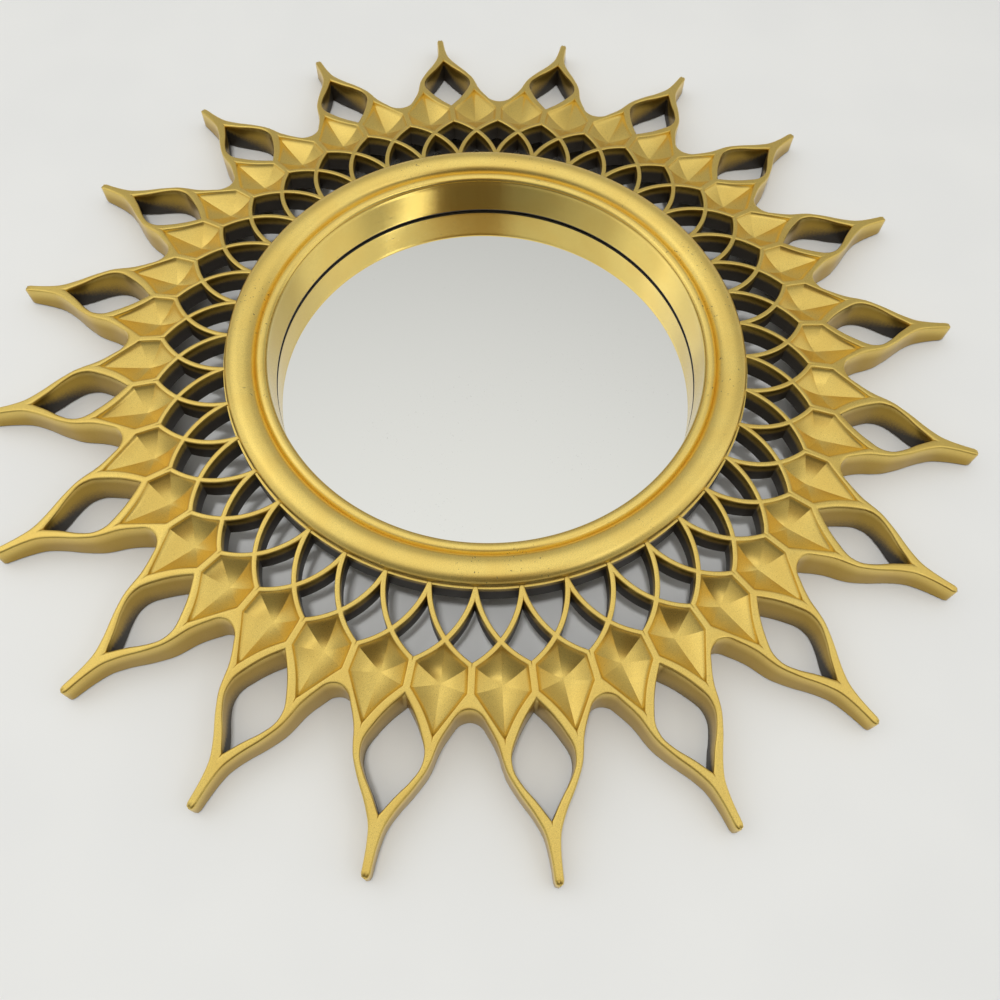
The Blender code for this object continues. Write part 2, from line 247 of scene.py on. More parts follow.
def gap_to(points: np.ndarray, line: np.ndarray) -> np.ndarray:
    """Distance from each point to a polyline.

    Args:
        points: any array of points.
        line: the polyline.

    Returns:
        An array of the same shape: the smallest over all segments of the distance to the point's
        foot on the segment, clamped to its ends.
    """
    flat = points.ravel()[:, None]
    start, step = line[:-1][None, :], np.diff(line)[None, :]
    share = np.clip(((flat - start) * np.conj(step)).real / np.maximum(np.abs(step) ** 2, 1e-18), 0, 1)
    return np.abs(flat - start - share * step).min(axis=1).reshape(points.shape)


@dataclass
class Surface:
    """Vertices and faces of a surface, how deep in the spray's shadow each vertex is, and the
    faces' facet numbers.

    The depth is 0 where the paint is full, about 1 where it fades out, and UNPAINTED on a back.
    """

    points: np.ndarray
    faces: np.ndarray
    depth: np.ndarray
    facet: np.ndarray

    @classmethod
    def grid(cls, points: np.ndarray, depth: np.ndarray | float = 0.0, facet: int = 0) -> "Surface":
        """A surface given as a function of two parameters on a grid.

        Args:
            points: array of rows x columns x 3 places.
            depth: depth in the spray's shadow at each vertex, or one depth for all.
            facet: number of the facet that the surface belongs to, or 0.

        Returns:
            The surface, with one quad for each cell of the grid.
        """
        rows, columns = points.shape[:2]
        corner = (np.arange(rows - 1)[:, None] * columns + np.arange(columns - 1)[None, :]).ravel()
        faces = np.stack((corner, corner + 1, corner + columns + 1, corner + columns), axis=1)
        share = np.broadcast_to(depth, (rows, columns)).ravel().astype(float)
        return cls(points.reshape(-1, 3), faces, share, np.full(len(faces), facet))

    @classmethod
    def joined(cls, surfaces: list["Surface"]) -> "Surface":
        """One surface made of several."""
        starts = np.cumsum([0] + [len(surface.points) for surface in surfaces[:-1]])
        return cls(
            np.concatenate([surface.points for surface in surfaces]),
            np.concatenate([surface.faces + start for surface, start in zip(surfaces, starts)]),
            np.concatenate([surface.depth for surface in surfaces]),
            np.concatenate([surface.facet for surface in surfaces]),
        )

    def to_object(self, name: str, crease_degrees: float) -> bpy.types.Object:
        """Welds the surface, turns its faces outwards and puts it into the scene.

        Args:
            name: the piece's name.
            crease_degrees: edges that bend more than this are shaded sharp, and so is every edge
                between two different facets.

        Returns:
            The object, at the origin, with the attribute "depth" on its face corners.
        """
        mesh = bpy.data.meshes.new(name)
        mesh.from_pydata(self.points, [], self.faces)
        depth = mesh.attributes.new("depth", "FLOAT", "CORNER")
        depth.data.foreach_set("value", self.depth[self.faces].ravel().astype(np.float32))
        facet = mesh.attributes.new("facet", "INT", "FACE")
        facet.data.foreach_set("value", self.facet.astype(np.int32))
        shape = bmesh.new()
        shape.from_mesh(mesh)
        bmesh.ops.remove_doubles(shape, verts=shape.verts, dist=WELD_REACH)
        bmesh.ops.delete(shape, geom=[edge for edge in shape.edges if edge.is_wire], context="EDGES")
        bmesh.ops.recalc_face_normals(shape, faces=shape.faces)
        shape.to_mesh(mesh)
        shape.free()
        mesh.shade_smooth()
        mesh.set_sharp_from_angle(angle=math.radians(crease_degrees))
        mark_facet_edges(mesh)
        made = bpy.data.objects.new(name, mesh)
        bpy.context.scene.collection.objects.link(made)
        return made


def mark_facet_edges(mesh: bpy.types.Mesh) -> None:
    """Shades the edges between two facets sharp.

    Args:
        mesh: the mesh, whose attribute "facet" numbers each face's facet, with 0 for none. The
            attribute is taken off it.
    """
    facet = np.zeros(len(mesh.polygons), np.int32)
    mesh.attributes["facet"].data.foreach_get("value", facet)
    mesh.attributes.remove(mesh.attributes["facet"])
    loops = np.zeros(len(mesh.loops), np.int32)
    mesh.loops.foreach_get("edge_index", loops)
    sizes = np.zeros(len(mesh.polygons), np.int32)
    mesh.polygons.foreach_get("loop_total", sizes)
    owner = np.repeat(facet, sizes)
    lowest = np.full(len(mesh.edges), facet.max() + 1)
    highest = np.full(len(mesh.edges), -1)
    np.minimum.at(lowest, loops, owner)
    np.maximum.at(highest, loops, owner)
    attribute = mesh.attributes.get("sharp_edge") or mesh.attributes.new("sharp_edge", "BOOLEAN", "EDGE")
    sharp = np.zeros(len(mesh.edges), bool)
    attribute.data.foreach_get("value", sharp)
    sharp |= (lowest > 0) & (lowest != highest)
    attribute.data.foreach_set("value", sharp)


def turned(profile: np.ndarray, depth: np.ndarray, segments: int, centre: complex = 0j) -> Surface:
    """A closed profile carried once round an axis square to the wall.

    Args:
        profile: points of radius + i height.
        depth: depth in the spray's shadow at each profile point.
        segments: how many steps make the circle.
        centre: the axis's place in the plan.

    Returns:
        The surface of plan points centre + r exp(i a) at the profile's heights.
    """
    loop = np.append(profile, profile[:1])[None, :]
    share = np.append(depth, depth[:1])[None, :]
    angle = np.linspace(0, 2 * math.pi, segments + 1)[:, None]
    return Surface.grid(spot(centre + loop.real * np.exp(1j * angle), loop.imag), share)


def pierce(piece: bpy.types.Object, cutter: bpy.types.Object, crease_degrees: float) -> None:
    """Takes a cutter's volume out of a piece for good.

    Args:
        piece: the piece.
        cutter: the cutter, which is removed afterwards.
        crease_degrees: edges that bend more than this are shaded sharp.
    """
    cut = piece.modifiers.new("cut", "BOOLEAN")
    cut.operation = "DIFFERENCE"
    cut.solver = "EXACT"
    cut.object = cutter
    evaluated = piece.evaluated_get(bpy.context.evaluated_depsgraph_get())
    mesh = bpy.data.meshes.new_from_object(evaluated)
    piece.modifiers.clear()
    piece.data = mesh
    mesh.set_sharp_from_angle(angle=math.radians(crease_degrees))
    bpy.data.objects.remove(cutter)


def spot(plan: np.ndarray, height: np.ndarray) -> np.ndarray:
    """Places in the world of plan points at heights above the back."""
    return np.stack((plan.real, -np.broadcast_to(height, plan.shape), plan.imag), axis=-1)


@dataclass(frozen=True)
class SunburstFrame:
    """The openwork moulding: collar, lattice of crossing arches, sunk cells and rays."""

    collar_inner: float = 61.5 * MM
    collar: float = 64.6 * MM
    peak: float = 64.8 * MM
    crossing: float = 76.1 * MM
    junction: float = 81.3 * MM
    shoulder: float = 86.9 * MM
    cell_tip: float = 96.2 * MM
    valley: float = 90.4 * MM
    tip: float = 125.0 * MM
    rib: float = 1.25 * MM
    cell_wall: float = 1.7 * MM
    cell_bow: float = 0.45 * MM
    cell_centre: float = 84.5 * MM
    cell_depth: float = 3.6 * MM
    cell_shoulder: float = 0.4 * MM
    cell_step: float = 0.3 * MM
    cell_step_width: float = 0.22 * MM
    rib_round: float = 0.34 * MM
    ray_round: float = 0.55 * MM
    teardrop_start: float = 88.6 * MM
    teardrop_length: float = 24.2 * MM
    teardrop_half_width: float = 6.7 * MM
    stem_half_width: float = 0.95 * MM
    lattice_thickness: float = 6.4 * MM
    step: float = 84.7 * MM
    step_slope: float = 1.3 * MM
    peak_height: float = 14.8 * MM
    shoulder_height: float = 11.75 * MM
    tip_height: float = 5.2 * MM
    collar_top: float = 15.0 * MM
    hole_reach: float = 2.2 * MM
    collar_reach: float = 1.6 * MM
    hidden_reach: float = 0.5 * MM
    # Outer walls: the depth over which the spray fades and the painted wall shade deepens.
    outer_spray_and_shade_reach: float = 20.0 * MM
    teardrop_reach: float = 15.0 * MM
    teardrop_loss: float = 13.6 * MM
    crease: float = 48.0
    across: tuple[float, ...] = (0.0, 0.05, 0.13, 0.26, 0.5, 0.74, 0.87, 0.95, 1.0)
    name: str = "sunburst_casting"

    def front(self, radius: np.ndarray) -> np.ndarray:
        """Height of the front over the back: one cone inside the shoulder, a steeper one outside."""
        inner = self.peak_height + (radius - self.peak) / (self.shoulder - self.peak) * (
            self.shoulder_height - self.peak_height
        )
        outer = self.shoulder_height + (radius - self.shoulder) / (self.tip - self.shoulder) * (
            self.tip_height - self.shoulder_height
        )
        return np.minimum(self.collar_top, np.where(radius < self.shoulder, inner, outer))

    def back(self, radius: np.ndarray) -> np.ndarray:
        """Height of the back: the lattice hangs clear, and a short slope meets the wall plane."""
        hanging = self.front(radius) - self.lattice_thickness
        return hanging * np.clip((self.step + self.step_slope - radius) / self.step_slope, 0, 1)

    def teardrop_edge(self) -> np.ndarray:
        """Clockwise half of the hole in ray 1, from its inner to its outer point."""
        length_share = np.array((0, 0.14, 0.30, 0.45, 0.56, 0.69, 0.83, 1))
        width_share = np.array((0, 0.41, 0.76, 0.985, 0.965, 0.74, 0.38, 0))
        radial = self.teardrop_start + length_share * self.teardrop_length
        return through(toward(1) * (radial - 1j * width_share * self.teardrop_half_width), 240)

    def ray_edge(self) -> np.ndarray:
        """Clockwise half of ray 1's outline, from the valley before it to the ray's tip."""
        aside = (11.6, 10.85, 9.75, 8.95, 8.5, 7.9, 6.8, 5.5, 4.0, 2.7, 1.7, 1.2, 1.0, 0.95)
        radial = (90.9, 92.5, 95, 97.5, 100, 102.5, 105, 107.5, 110, 112.5, 115, 118, 121, 123.9)
        places = (np.array(radial) - 1j * np.array(aside)) * MM
        valley = toward(0) * self.valley
        curve = valley + toward(0) * 1j * 0.9 * MM + toward(0) * 0.12 * MM
        body = np.concatenate(([valley, curve], toward(1) * places))
        turn = np.linspace(0, math.pi / 2, 7)[1:]
        stem = self.stem_half_width
        cap = toward(1) * (self.tip - stem + stem * np.sin(turn) - 1j * stem * np.cos(turn))
        return np.concatenate((through(body, 300), cap))

    def plan(self, across: tuple[float, ...]) -> tuple[list[np.ndarray], dict[str, np.ndarray]]:
        """Plan of the half sector between directions 0 and 1.

        Args:
            across: shares of its width at which a strip has its rows.

        Returns:
            Grids of points for the strips and nodes, and the edge curves by name.
        """
        share = np.array(across)
        zero, middle = 0j, complex(toward(0.5))
        valley_axis, ray_axis = complex(toward(0)), complex(toward(1))
        centre, radius = circle_through(
            valley_axis * self.peak, middle * self.crossing, ray_axis * self.junction
        )
        twin = complex(reflected(centre, 0.5))
        inner, outer = radius - self.rib / 2, radius + self.rib / 2

        foot = circles_meet(centre, inner, zero, self.collar, valley_axis * self.collar)
        apex = circles_meet(centre, inner, twin, inner, middle * self.crossing)
        top = line_meets_circle(zero, valley_axis, centre, outer, valley_axis * (self.peak + 4 * MM))
        side = circles_meet(centre, outer, twin, inner, middle * self.crossing)
        bottom = line_meets_circle(zero, valley_axis, twin, inner, valley_axis * self.junction)
        point = line_meets_circle(zero, middle, centre, outer, middle * self.crossing)
        beside = valley_axis * 1j * self.cell_wall / 2
        corner = line_meets_circle(beside, valley_axis, twin, outer, valley_axis * self.junction)
        shoulder = beside + valley_axis * self.shoulder
        far_shoulder = complex(reflected(shoulder, 0.5))
        end = middle * self.cell_tip

        window = arc(centre, foot, apex, 13)
        diamond = arc(centre, top, side, 9)
        diamond_outer = arc(twin, side, bottom, 8)
        cell_inner = arc(twin, point, corner, 8)
        wall_line = straight(corner, shoulder, 5)
        valley_side = straight(shoulder, end, 11)
        ray_side = straight(far_shoulder, end, 11, -self.cell_bow)
        teardrop, edge = self.teardrop_edge(), self.ray_edge()

        def ruled(first: np.ndarray, last: np.ndarray) -> np.ndarray:
            """Grid of straight lines between two curves with the same number of points."""
            return first[:, None] * (1 - share) + last[:, None] * share

        def both(grid: np.ndarray) -> list[np.ndarray]:
            """A grid and its mirror image beyond the cell's axis."""
            return [grid, reflected(grid, 0.5)]

        fan_count = len(self.across) - 1
        edge_marks = [0.0, nearest_length(edge, shoulder), nearest_length(edge, end)]
        edge_marks += [nearest_length(edge, complex(teardrop[-1])), float(lengths(edge)[-1])]
        fan_edge, rim_edge, arm_edge, stem_edge = (
            stretch(edge, first, last, count)
            for first, last, count in zip(edge_marks, edge_marks[1:], (fan_count, 11, 17, 15))
        )
        tear_marks = [0.0, nearest_length(teardrop, far_shoulder), nearest_length(teardrop, end)]
        tear_marks += [float(lengths(teardrop)[-1])]
        fan_tear, rim_tear, arm_tear = (
            stretch(teardrop, first, last, count)
            for first, last, count in zip(tear_marks, tear_marks[1:], (fan_count, 11, 17))
        )

        peak_line = straight(valley_axis * self.collar, top, 4)
        grids = both(ruled(window, np.concatenate((peak_line, diamond[1:]))))
        grids += [ruled(apex * (1 - share) + side * share,
                        complex(reflected(side, 0.5)) * (1 - share) + point * share)]
        grids += both(ruled(diamond_outer, cell_inner))
        grids += both(ruled(straight(bottom, valley_axis * self.shoulder, 5), wall_line))

        lines = share if len(share) > 2 else np.array([0.0] + [1.0] * fan_count)
        rows = share[:, None]
        fans = ((valley_axis, shoulder, fan_edge), (ray_axis, far_shoulder, fan_tear))
        for axis, corner_place, fan in fans:
            start = axis * self.shoulder * (1 - lines) + corner_place * lines
            grids.append(start[None, :] * (1 - rows) + fan[None, :] * rows)
        grids += [ruled(valley_side, rim_edge), ruled(ray_side, rim_tear)]

        spine = (arm_edge + arm_tear) / 2
        spine = spine + (end - spine[0]) * (1 - np.linspace(0, 1, len(spine))) ** 2
        grids += [ruled(arm_tear, spine), ruled(spine, arm_edge)]
        stem_axis = straight(complex(teardrop[-1]), ray_axis * self.tip, 15)
        stem_spine = (stem_axis + stem_edge) / 2
        grids += [ruled(stem_axis, stem_spine), ruled(stem_spine, stem_edge)]

        collar_arc = arc(zero, foot, complex(reflected(foot, 0.5)), 6)
        collar_lines = []
        for shares in (np.ceil(share), share):
            foot_line = valley_axis * self.collar * (1 - shares) + foot * shares
            far_foot_line = reflected(foot_line, 0.5)[::-1]
            collar_lines.append(np.concatenate((foot_line, collar_arc[1:], far_foot_line[1:])))
        collar_back = collar_lines[0] / np.abs(collar_lines[0]) * self.collar_inner
        grids += [np.stack((collar_back, collar_lines[1]))]

        far_window = reflected(window, 0.5)[::-1]
        curves = {
            "window": np.concatenate((window, far_window[1:])),
            "collar_arc": collar_arc,
            "diamond": np.concatenate((diamond, diamond_outer[1:])),
            "teardrop": np.concatenate((fan_tear, rim_tear[1:], arm_tear[1:])),
            "outer": np.concatenate((fan_edge, rim_edge[1:], arm_edge[1:], stem_edge[1:])),
            "collar_back": collar_back,
        }
        curves["far_diamond"] = reflected(curves["diamond"], 0.5)
        rim = [cell_inner, wall_line, valley_side, ray_side[::-1]]
        rim += [reflected(wall_line, 0.5)[::-1], reflected(cell_inner, 0.5)[::-1]]
        for number, part in enumerate(rim):
            curves[f"rim_{number}"] = part
        return grids, curves

    def front_height(self, plan: np.ndarray, curves: dict[str, np.ndarray]) -> np.ndarray:
        """Height of the front at plan points.

        Args:
            plan: the points.
            curves: the edge curves by name.

        Returns:
            The cone's height, less the drop of a quarter circle beside every cut edge and, with a
            smaller radius, beside a cell's rim.
        """
        names = ("window", "collar_arc", "diamond", "far_diamond", "teardrop", "outer")
        gap = np.min([gap_to(plan, curves[name]) for name in names], axis=0)
        out = np.clip((np.abs(plan) - self.junction) / (self.shoulder - self.junction), 0, 1)
        rim = np.concatenate([curves[f"rim_{number}"] for number in range(6)])
        drops = [
            radius - np.sqrt(np.maximum(radius**2 - (radius - np.minimum(distance, radius)) ** 2, 0))
            for distance, radius in (
                (gap, self.rib_round + (self.ray_round - self.rib_round) * out),
                (gap_to(plan, rim), self.cell_shoulder),
            )
        ]
        return self.front(np.abs(plan)) - sum(drops)

    def cell(self, curves: dict[str, np.ndarray]) -> list[Surface]:
        """The sunk cell: a short steep step inside its rim, then six facets down to the low point.

        Args:
            curves: the edge curves by name.

        Returns:
            One surface for each side of the rim. Parameters are the place along the rim and the
            share of the way in. Below the step the height over the low point is a weighted sum of
            the remaining share and its square, so that the facets are hollow and flatten at the
            low point.
        """
        low = complex(toward(0.5)) * self.cell_centre
        low_height = float(self.front(np.array(self.cell_centre))) - self.cell_depth
        step = np.array((0.0, 0.45, 1.0))[:, None]
        inward = np.array((0.1, 0.24, 0.42, 0.6, 0.76, 0.9, 1.0))[:, None]
        left = 1 - inward
        surfaces = []
        for number in range(6):
            rim = curves[f"rim_{number}"][None, :]
            top = self.front_height(rim, curves)
            start = self.cell_step_width / np.abs(rim - low)
            share = np.concatenate((start * step, start + (1 - start) * inward))
            foot = top - self.cell_step
            hollow = low_height + (foot - low_height) * (0.35 * left + 0.65 * left**2)
            height = np.concatenate((top - self.cell_step * step**1.3, hollow))
            surfaces.append(Surface.grid(spot(rim + (low - rim) * share, height), 0.0, number + 1))
        return surfaces

    def walls(self, curves: dict[str, np.ndarray]) -> list[Surface]:
        """Upright walls below every cut edge.

        Args:
            curves: the edge curves by name.

        Returns:
            Surfaces whose parameters are the place along the edge and the share of the way down.
            Their depth in the spray's shadow is the depth below the front over the depth that the spray
            reached, which is least in the narrow holes and at a teardrop's outer point. The material also
            turns this depth into painted shade, a darker browner colour down the walls.
        """
        down = np.array((0.0, 1.0))[None, :]
        out = (np.abs(curves["teardrop"]) - self.teardrop_start) / self.teardrop_length
        reach = {
            "window": self.hole_reach,
            "collar_arc": self.collar_reach,
            "diamond": self.hole_reach,
            "far_diamond": self.hole_reach,
            "teardrop": (self.teardrop_reach - self.teardrop_loss * np.clip(out, 0, 1) ** 1.2)[:, None],
            "outer": self.outer_spray_and_shade_reach,
            "collar_back": self.hidden_reach,
        }
        surfaces = []
        for name, limit in reach.items():
            line = curves[name][:, None]
            top = self.front_height(line, curves)
            height = top * (1 - down) + self.back(np.abs(line)) * down
            surfaces.append(Surface.grid(spot(line + 0 * down, height), (top - height) / limit))
        return surfaces

    def build(self) -> bpy.types.Object:
        """Builds the whole moulding from forty half sectors.

        Returns:
            The piece.
        """
        grids, curves = self.plan(self.across)
        parts = [Surface.grid(spot(grid, self.front_height(grid, curves))) for grid in grids]
        parts += self.cell(curves) + self.walls(curves)
        back_grids, back_curves = self.plan((0.0, 1.0))
        parts += [Surface.grid(spot(grid, self.back(np.abs(grid))), UNPAINTED) for grid in back_grids]
        low = complex(toward(0.5)) * self.cell_centre
        for number in range(6):
            rim = back_curves[f"rim_{number}"]
            fan = np.stack((rim, np.full(len(rim), low)))
            parts.append(Surface.grid(spot(fan, self.back(np.abs(fan))), UNPAINTED))
        half = Surface.joined(parts)
        plan = half.points[:, 0] + 1j * half.points[:, 2]
        halves = []
        for side in (plan, reflected(plan, 1)):
            for ray in range(RAY_COUNT):
                copy = spot(side * np.exp(2j * HALF_PITCH * ray), -half.points[:, 1])
                halves.append(Surface(copy, half.faces, half.depth, half.facet))
        return Surface.joined(halves).to_object(self.name, self.crease)


@dataclass(frozen=True)
class MirrorRing:
    """The round moulding over the collar, down to the mirror."""

    sight: float = 53.4 * MM
    rabbet: float = 57.2 * MM
    body: float = 61.2 * MM
    outer: float = 64.2 * MM
    seat: float = 5.0 * MM
    underside: float = 15.3 * MM
    roll_reach: float = 3.6 * MM
    roll_rise: float = 2.56 * MM
    bead: float = 1.5 * MM
    bead_centre: complex = (55.4 + 14.9j) * MM
    corner: float = 0.15 * MM
    dark_foot_band: float = 0.3 * MM
    nail_hole: float = 1.2 * MM
    nail_depth: float = 8.0 * MM
    nail_place: complex = 59.2j * MM
    crease: float = 60.0
    segments: int = 300
    nail_segments: int = 24
    name: str = "ring_moulding"

    def profile(self) -> tuple[np.ndarray, np.ndarray]:
        """Closed section of radius + i height: an elliptic roll, a groove, a round bead, the wall
        down to the seat, and the hidden back.

        Returns:
            The points and the depth in the spray's shadow at each.
        """
        roll_angle = np.radians(np.linspace(0, 166, 25))
        roll = self.outer - self.roll_reach + 1j * self.underside
        roll = roll + self.roll_reach * np.cos(roll_angle) + 1j * self.roll_rise * np.sin(roll_angle)
        bead_angle = np.radians(np.linspace(20, 188, 19))
        bead = self.bead_centre + self.bead * np.exp(1j * bead_angle)
        foot = self.sight + 1j * (self.seat + self.corner)
        # The wall ends in a short dark band where it meets the mirror: its two lowest profile points get a
        # depth of 5.
        wall = np.linspace(bead[-1], foot + 1j * self.dark_foot_band, 12)[1:]
        wall = np.append(wall, [foot + 0.9j * self.dark_foot_band, foot])
        hidden = np.array((
            self.sight + self.corner + 1j * self.seat,
            self.rabbet + 1j * self.seat,
            self.rabbet + 0j,
            self.body - self.corner + 0j,
            self.body + 1j * self.corner,
            self.body + 1j * 7 * MM,
            self.body + 1j * self.underside,
            self.outer - self.corner + 1j * self.underside,
        ))
        points = np.concatenate((roll, bead, wall, hidden))
        depth = np.zeros(len(points))
        depth[-len(hidden) - 2:] = (5.0, 5.0, 5.0, 5.0, 5.0, 5.0, 5.0, 2.0, 2.0, 0.8)
        return points, depth

    def build(self) -> bpy.types.Object:
        """Builds the ring, with a blind hole for a nail in its back.

        Returns:
            The piece.
        """
        points, depth = self.profile()
        ring = turned(points, depth, self.segments).to_object(self.name, self.crease)
        end, below = 1j * self.nail_depth, -1j * MM
        hole = np.array((below, self.nail_hole + below, self.nail_hole + end, end))
        drill = turned(hole, np.full(len(hole), UNPAINTED), self.nail_segments, self.nail_place)
        pierce(ring, drill.to_object("nail_hole_cutter", self.crease), self.crease)
        return ring


@dataclass(frozen=True)
class BackCover:
    """The plain round plate behind the mirror."""

    radius: float = 56.9 * MM
    thickness: float = 2.9 * MM
    edge: float = 0.4 * MM
    crease: float = 50.0
    segments: int = 180
    name: str = "round_back_plate"

    def build(self) -> bpy.types.Object:
        """Builds the plate: a flat disc whose rim is a rounded step at the back.

        Returns:
            The piece.
        """
        turn = np.radians(np.linspace(-90, 0, 6))
        rim = self.radius - self.edge + 1j * self.edge + self.edge * np.exp(1j * turn)
        points = np.concatenate(([0j], rim, [self.radius + 1j * self.thickness, 1j * self.thickness]))
        plate = turned(points, np.zeros(len(points)), self.segments)
        return plate.to_object(self.name, self.crease)


class Value:
    """A shader socket on which sums can be written as Python expressions."""

    def __init__(self, graph: "Graph", socket: bpy.types.NodeSocket) -> None:
        """Wraps an output socket of a graph."""
        self.graph = graph
        self.socket = socket

    def maths(self, operation: str, *others: "Value | float") -> "Value":
        """Result of a Math node on this value and others."""
        return self.graph.node("ShaderNodeMath", {"operation": operation}, {
            index: item for index, item in enumerate((self, *others))
        })

    def __add__(self, other: "Value | float") -> "Value":
        """Sum."""
        return self.maths("ADD", other)

    def __radd__(self, other: float) -> "Value":
        """Sum, from the right."""
        return self.maths("ADD", other)

    def __sub__(self, other: "Value | float") -> "Value":
        """Difference."""
        return self.maths("SUBTRACT", other)

    def __rsub__(self, other: float) -> "Value":
        """Difference, from the right."""
        return self.graph.number(other).maths("SUBTRACT", self)

    def __mul__(self, other: "Value | float") -> "Value":
        """Product."""
        return self.maths("MULTIPLY", other)

    def __rmul__(self, other: float) -> "Value":
        """Product, from the right."""
        return self.maths("MULTIPLY", other)

    def step(self, low: float, high: float) -> "Value":
        """Smooth rise from 0 to 1 as this value goes from low to high."""
        return self.graph.node("ShaderNodeMapRange", {"interpolation_type": "SMOOTHSTEP"}, {
            "Value": self, "From Min": low, "From Max": high
        })


class Graph:
    """A material's node tree, made by one method."""

    def __init__(self, name: str, world: bool = False) -> None:
        """Starts an empty material.

        Args:
            name: the material's name.
            world: whether the nodes are the surround's instead.
        """
        self.material = (bpy.data.worlds if world else bpy.data.materials).new(name)
        self.material.use_nodes = True
        self.tree = self.material.node_tree
        self.tree.nodes.clear()
        self.place: Value | None = None

    def node(
        self, kind: str, settings: dict[str, Any], inputs: dict[Any, Any], output: int | str = 0
    ) -> Value:
        """Adds a node.

        Args:
            kind: the node's type.
            settings: its settings by name.
            inputs: values or links by socket name or number.
            output: the output that is wanted.

        Returns:
            The output as a value.
        """
        made = self.tree.nodes.new(kind)
        for key, item in settings.items():
            setattr(made, key, item)
        for key, item in inputs.items():
            if isinstance(item, Value):
                self.tree.links.new(item.socket, made.inputs[key])
            else:
                made.inputs[key].default_value = item
        return Value(self, made.outputs[output])

    def number(self, value: float) -> Value:
        """A plain number as a value, for sums that need one on the left."""
        return self.node("ShaderNodeMath", {"operation": "ADD"}, {0: value, 1: 0.0})

    def objects(self) -> Value:
        """Object coordinates, in metres."""
        if self.place is None:
            self.place = self.node("ShaderNodeTexCoord", {}, {}, "Object")
        return self.place

    def noise(self, size: float, detail: float, rough: float, place: Value | None = None) -> Value:
        """Noise from 0 to 1.

        Args:
            size: rough size of its blobs in metres.
            detail: octaves.
            rough: weight of the finer octaves.
            place: coordinates, or None for the piece's own.

        Returns:
            The noise.
        """
        return self.node("ShaderNodeTexNoise", {}, {
            "Vector": place or self.objects(), "Scale": 1 / size, "Detail": detail, "Roughness": rough
        })

    def colour_mix(self, share: Value, first: Any, second: Any) -> Value:
        """Mix of two colours, each a value or a tuple of three.

        Args:
            share: share of the second colour.
            first: the first colour.
            second: the second colour.

        Returns:
            The mix.
        """
        first, second = (
            (*colour, 1.0) if isinstance(colour, tuple) else colour for colour in (first, second)
        )
        return self.node("ShaderNodeMix", {"data_type": "RGBA"}, {0: share, 6: first, 7: second}, 2)

    def bump(self, height: Value, distance: float, strength: float = 1.0) -> Value:
        """Normal bent by a height.

        Args:
            height: the height, of which 1 stands for the distance.
            distance: that distance in metres.
            strength: share of the bend to use.

        Returns:
            The normal.
        """
        return self.node("ShaderNodeBump", {}, {
            "Height": height, "Distance": distance, "Strength": strength
        })

    def surface(self, inputs: dict[str, Any]) -> bpy.types.Material:
        """Ends the material with a Principled shader.

        Args:
            inputs: values or links by socket name.

        Returns:
            The material.
        """
        shader = self.node("ShaderNodeBsdfPrincipled", {}, inputs)
        self.node_output(shader)
        return self.material

    def node_output(self, shader: Value, kind: str = "ShaderNodeOutputMaterial") -> None:
        """Links a shader to the output of the material or of the surround."""
        out = self.tree.nodes.new(kind)
        self.tree.links.new(shader.socket, out.inputs["Surface"])

    def along(self, vector: Value, unit: tuple[float, float, float]) -> Value:
        """Share of a vector along a unit vector."""
        return self.node(
            "ShaderNodeVectorMath", {"operation": "DOT_PRODUCT"}, {0: vector, 1: unit}, "Value"
        )


